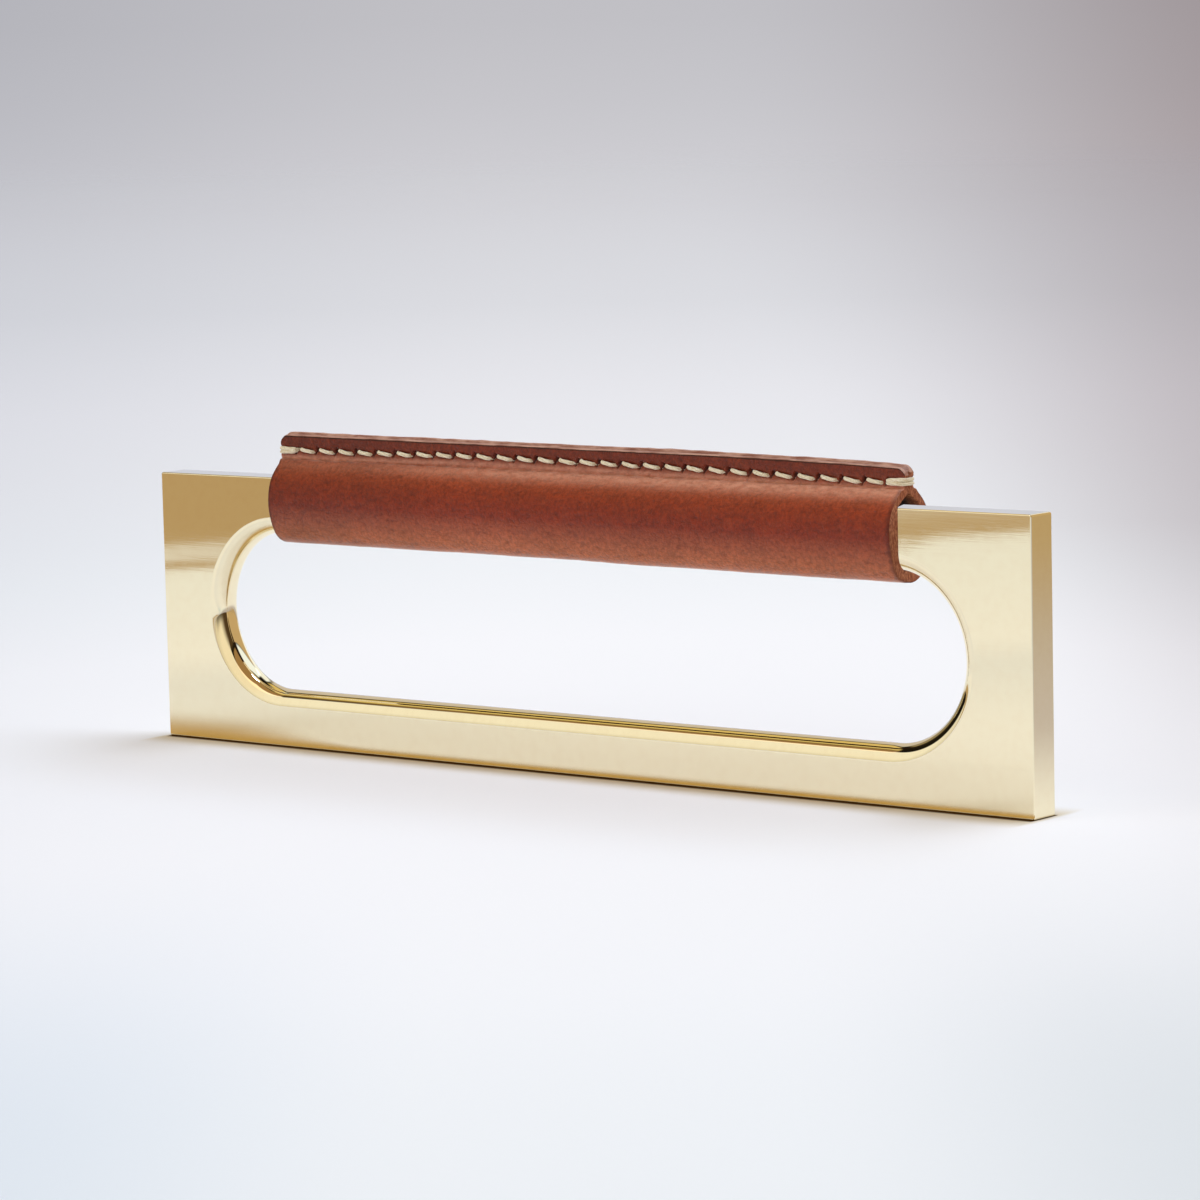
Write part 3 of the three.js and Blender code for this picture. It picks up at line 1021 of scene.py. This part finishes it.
def build_floor():
    mat, n, shader = material("studio_floor")
    pos = n.position()
    x, y, aside, along = offsets(n)
    spread = n.math("SQRT", n.plus(n.times(x, x), n.times(y, y)))
    # Painted light falloff: the floor darkens with distance from the pull
    stops = [(0.0, (0.925, 0.925, 0.960)), (0.237, (0.920, 0.918, 0.955)), (0.289, (0.865, 0.878, 0.912)),
             (0.356, (0.820, 0.820, 0.856)), (0.40, (0.795, 0.790, 0.830)), (0.492, (0.700, 0.700, 0.737)),
             (0.644, (0.637, 0.631, 0.665)), (0.761, (0.605, 0.600, 0.632)), (1.0, (0.575, 0.570, 0.602))]
    level = n.shade(n.math("POWER", n.times(spread, 1 / 12.0), 0.333), stops)
    # the light falls off to the right, and a little to the left
    reach = n.math("MAXIMUM", n.math("MULTIPLY_ADD", along, 0.015, 0.145), n.times(along, 0.16))
    level = n.mix(n.ramp(aside, 0.055, reach), level, (0.62, 0.57, 0.575, 1), "MULTIPLY")
    leftwards = n.times(n.ramp(aside, -0.02, n.times(reach, -1.0)),
                        n.ramp(aside, n.times(along, -0.26), n.times(along, -0.17)))
    level = n.mix(leftwards, level, (0.88, 0.89, 0.91, 1), "MULTIPLY")
    # and towards the camera, most at the sides
    wide = n.size(aside)
    near = n.times(n.ramp(along, 0.60, 0.42), n.ramp(wide, 0.09, 0.13, 1.0, 0.0))
    level = n.mix(near, level, (0.955, 0.97, 0.975, 1), "MULTIPLY")
    sides = n.times(near, n.ramp(wide, 0.015, 0.06))
    side_tint = n.mix(n.ramp(aside, -0.03, 0.03), (0.89, 0.925, 0.96, 1), (0.86, 0.875, 0.88, 1))
    level = n.mix(sides, level, side_tint, "MULTIPLY")
    # painted warm light off the brass, and the dark line of contact as a painted shadow
    dx = n.times(n.math("MAXIMUM", n.minus(n.size(x), FOOT_X), 0.0), 5.0)
    dy = n.math("MAXIMUM", n.minus(n.size(y), FOOT_Y), 0.0)
    gap = n.math("SQRT", n.plus(n.times(dx, dx), n.times(dy, dy)))
    level = n.mix(n.ramp(gap, 0.0, 0.0078, 0.9, 0.0), level, (0.76, 0.66, 0.48, 1), "MULTIPLY")
    level = n.mix(n.ramp(gap, 0.0003, 0.0013, 1.0, 0.0), level, (0.12, 0.07, 0.03, 1), "MULTIPLY")
    paper = n.noise(pos, 900.0, 4.0, 0.6)
    level = n.mix(n.ramp(paper, 0.3, 0.7, 0.0, 0.012), level, (0.6, 0.6, 0.62, 1))
    level = n.tint(level, tuple(1 / v for v in FLOOR_LIGHT) + (1,))
    n.put(shader.inputs["Base Color"], level)
    shader.inputs["Roughness"].default_value = 0.9
    shader.inputs["Specular IOR Level"].default_value = 0.0
    # far away the floor melts into the backdrop
    clear = n.add("ShaderNodeBsdfTransparent")
    both = n.mix_shaders(n.ramp(spread, 1.6, 7.0), shader, clear)
    n.put(mat.node_tree.get_output_node("ALL").inputs[0], both.outputs[0])
    corners = rectangle(-FLOOR_HALF, -FLOOR_HALF, FLOOR_HALF, FLOOR_HALF)
    new_object("floor", corners, [(0, 1, 2, 3)], [mat], smooth=False)


def build_world():
    world = bpy.data.worlds.new("studio")
    bpy.context.scene.world = world
    world.use_nodes = True
    tree = world.node_tree
    tree.nodes.clear()
    n = Nodes(tree)
    way = n.add("ShaderNodeTexCoord").outputs["Generated"]
    split = n.add("ShaderNodeSeparateXYZ", Vector=way)
    x, y, z = split.outputs
    height = n.times(n.math("ARCSINE", z), 180 / math.pi)
    turn = n.times(n.math("ARCTAN2", y, x), 180 / math.pi)

    def from_way(centre):
        return n.math("WRAP", n.minus(turn, centre), 180.0, -180.0)

    def panel(lo, hi, soft_lo, soft_hi, centre=None, half=None, soft=6.0):
        """Mask of a soft box between two heights, and round a compass direction."""
        mask = n.times(n.ramp(height, lo, lo + soft_lo),
                       n.ramp(height, n.minus(hi, soft_hi), hi, 1.0, 0.0))
        if centre is None:
            return mask
        away = n.size(from_way(centre))
        return n.times(mask, n.ramp(away, half - soft, half, 1.0, 0.0))

    # The big front panel: its upper edge is highest in the middle, and it dims to the right.
    slant = n.minus(61.0, n.times(n.size(from_way(-112.0)), 0.38))
    front = n.times(panel(-12.0, slant, 3.0, 1.6), n.ramp(from_way(-120.0), -35.0, -31.0))
    front = n.times(front, n.ramp(from_way(-120.0), 58.0, 94.0, 1.0, 0.0))
    front = n.times(front, n.ramp(height, -6.0, 15.0, 0.74, 1.0))
    low = n.times(n.ramp(turn, -98.0, -72.0), n.ramp(height, -1.0, 9.0, 1.0, 0.0))
    front = n.times(front, n.minus(1.0, n.times(low, 0.8)))
    front_tint = n.mix(n.ramp(turn, -134.0, -112.0), (0.95, 0.91, 0.80, 1), (0.925, 0.835, 0.655, 1))
    wall_tint = n.mix(n.ramp(height, 6.0, 18.0), (0.63, 0.66, 0.78, 1), (0.62, 0.555, 0.49, 1))
    path = n.add("ShaderNodeLightPath")
    # The soft box is 3 times its tint, and as bright as its tint where the brass mirrors it.
    soft_power = n.minus(3.0, n.times(path.outputs["Is Glossy Ray"], 2.0))
    boxes = [
        (front, front_tint, 1.0),
        (panel(42.0, 84.0, 4.0, 6.0, -85.0, 82.0, 12.0), (0.34, 0.20, 0.08, 1), 1.0),  # ceiling, front
        (panel(36.0, 77.0, 7.0, 4.0, 57.0, 47.0, 9.0), (0.95, 1.05, 1.17, 1), soft_power),  # soft box, back
        (panel(-12.0, 64.0, 3.0, 14.0, 106.0, 15.0, 5.0), (0.95, 1.0, 1.04, 1), 1.0),  # bright backdrop
        (panel(-12.0, 44.0, 3.0, 3.0, 139.5, 21.5, 6.0), wall_tint, 1.0),  # back left
        (panel(44.0, 66.0, 4.0, 10.0, 160.0, 40.0, 12.0), (0.80, 0.60, 0.22, 1), 0.9),  # warm, over the rail
        (panel(-12.0, 40.0, 3.0, 6.0, 170.0, 14.0, 8.0), (0.30, 0.24, 0.13, 1), 1.0),  # left
        (panel(-12.0, 38.0, 3.0, 2.0, 44.0, 52.0, 4.0), (0.56, 0.40, 0.21, 1), 1.0),  # brown, back right
        (panel(-12.0, 42.0, 3.0, 6.0, -27.0, 21.0, 8.0), (0.07, 0.04, 0.016, 1), 1.0),  # dark, right
        (panel(81.0, 95.0, 2.0, 1.0), (0.95, 1.08, 1.25, 1), 12.0),  # overhead lamp
    ]
    colour = None
    for mask, tint, power in boxes:
        level = n.times(mask, power)
        part = n.tint(tint, level)
        colour = part if colour is None else n.mix(1.0, colour, part, "ADD")
    colour = n.mix(1.0, colour, (0.012, 0.009, 0.005, 1), "ADD")
    studio = n.add("ShaderNodeBackground", Color=colour, Strength=1.0)

    # What the camera sees behind the floor: backdrop paper with painted shade, greyer upwards and to the
    # right.
    stops = [(0.0, (0.83, 0.825, 0.865)), (0.10, (0.795, 0.790, 0.830)), (0.163, (0.701, 0.701, 0.738)),
             (0.227, (0.637, 0.631, 0.665)), (0.29, (0.571, 0.565, 0.597)), (0.34, (0.533, 0.527, 0.558)),
             (0.6, (0.46, 0.46, 0.49)), (1.0, (0.40, 0.40, 0.43))]
    paper = n.shade(n.ramp(height, -6.0, 14.0, smooth=False), stops)
    offset = from_way(129.0)
    right = n.times(n.ramp(offset, -1.5, -9.5), n.ramp(offset, -90.0, -40.0))
    left = n.times(n.ramp(offset, 1.0, 9.0), n.ramp(offset, 90.0, 40.0))
    paper = n.mix(right, paper, (0.63, 0.55, 0.54, 1), "MULTIPLY")
    paper = n.mix(left, paper, (0.86, 0.87, 0.89, 1), "MULTIPLY")
    pale = n.add("ShaderNodeBackground", Color=paper, Strength=1.0)
    n.add("ShaderNodeOutputWorld", Surface=n.mix_shaders(path.outputs["Is Camera Ray"], studio, pale))


def card(name, corners, colour, streaks=None, faces=((0, 1, 2, 3),)):
    """A card that only reflections see."""
    mat = bpy.data.materials.new(name)
    mat.use_nodes = True
    mat.node_tree.nodes.clear()
    n = Nodes(mat.node_tree)
    glow = n.add("ShaderNodeEmission", Color=colour, Strength=1.0)
    if streaks is not None:
        glow = n.mix_shaders(streaks(n), n.add("ShaderNodeBsdfTransparent"), glow)
    n.add("ShaderNodeOutputMaterial", Surface=glow)
    obj = new_object(name, corners, list(faces), [mat], smooth=False)
    obj.visible_camera = False
    obj.visible_diffuse = False
    obj.visible_shadow = False
    obj.visible_transmission = False


def left_card_share(n):
    x, y, aside, along = offsets(n)
    ragged = n.noise(n.position(), 20.0, 3.0, 0.6)
    threads = n.noise(n.scaled(n.position(), (60, 60, 60)), 3.0, 4.0, 0.7)
    edge = n.plus(aside, n.times(n.minus(ragged, 0.5), 0.012))
    fray = n.times(n.ramp(along, 0.495, 0.535), n.ramp(along, 0.61, 0.57))
    edge = n.minus(edge, n.times(fray, n.ramp(threads, 0.35, 0.65, 0.0, 0.050)))
    block = n.ramp(edge, -0.306, -0.312)
    streak = n.times(n.ramp(edge, -0.320, -0.327), n.ramp(edge, -0.368, -0.350))
    streak = n.times(streak, n.ramp(along, 0.56, 0.60))
    pale = n.times(n.ramp(along, 0.60, 0.54), n.ramp(edge, -0.315, -0.41))
    share = n.math("SUBTRACT", block, n.times(streak, 0.66), clamp=True)
    return n.math("SUBTRACT", share, n.times(pale, 0.5), clamp=True)


def foot_card_share(n):
    split = n.add("ShaderNodeSeparateXYZ", Vector=n.position())
    away = n.minus(n.size(split.outputs[1]), FOOT_Y)
    reach = n.ramp(split.outputs[0], -0.040, -0.085, 0.0045, 0.022)
    return n.times(n.ramp(away, 0.0012, reach, 1.0, 0.0), 0.85)


def sleeve_reflection_card():
    """A dark card that only reflections see, so that the brass inside the sleeve shows a painted reflection
    of the leather's dark round it.
    """
    section = [(2.52, 41.02), (-2.52, 41.02)]
    for a in np.radians(np.linspace(0, 180, 13)):
        section.append((-2.53 * math.cos(a), MID_Z + MOUTH_R - 2.53 * math.sin(a)))
    verts = []
    for x in (GRIP_LEFT + 0.3, GRIP_RIGHT - 0.3):
        for y, z in section:
            lean = 0.42 * (y + 2.5) if x > 0 and z > 41 else 0.0
            verts.append((x - lean, y, z))
    faces = grid_faces(2, len(section))
    card("sleeve_painted_reflection", verts, (0.022, 0.010, 0.006, 1), faces=faces)


def back_card_share(n):
    split = n.add("ShaderNodeSeparateXYZ", Vector=n.position())
    return n.ramp(split.outputs[1], 0.03, 0.34)


build_floor()
build_world()
# Glowing cards that only reflections see, as painted reflections in the brass
card("left_painted_reflection", rectangle(-4000, -6000, 4000, 0, 0.3), (0.49, 0.35, 0.19, 1), left_card_share)
card("right_painted_reflection", rectangle(90, 0, 4000, 4000, 0.3), (0.50, 0.37, 0.21, 1), back_card_share)
# A painted reflection of the shade and warm light on the floor just in front of the foot
card("foot_painted_reflection", rectangle(-110, -40, 83, -2.9, 0.2), (0.50, 0.31, 0.085, 1), foot_card_share)
sleeve_reflection_card()

scene = bpy.context.scene
scene.view_settings.view_transform = "Standard"
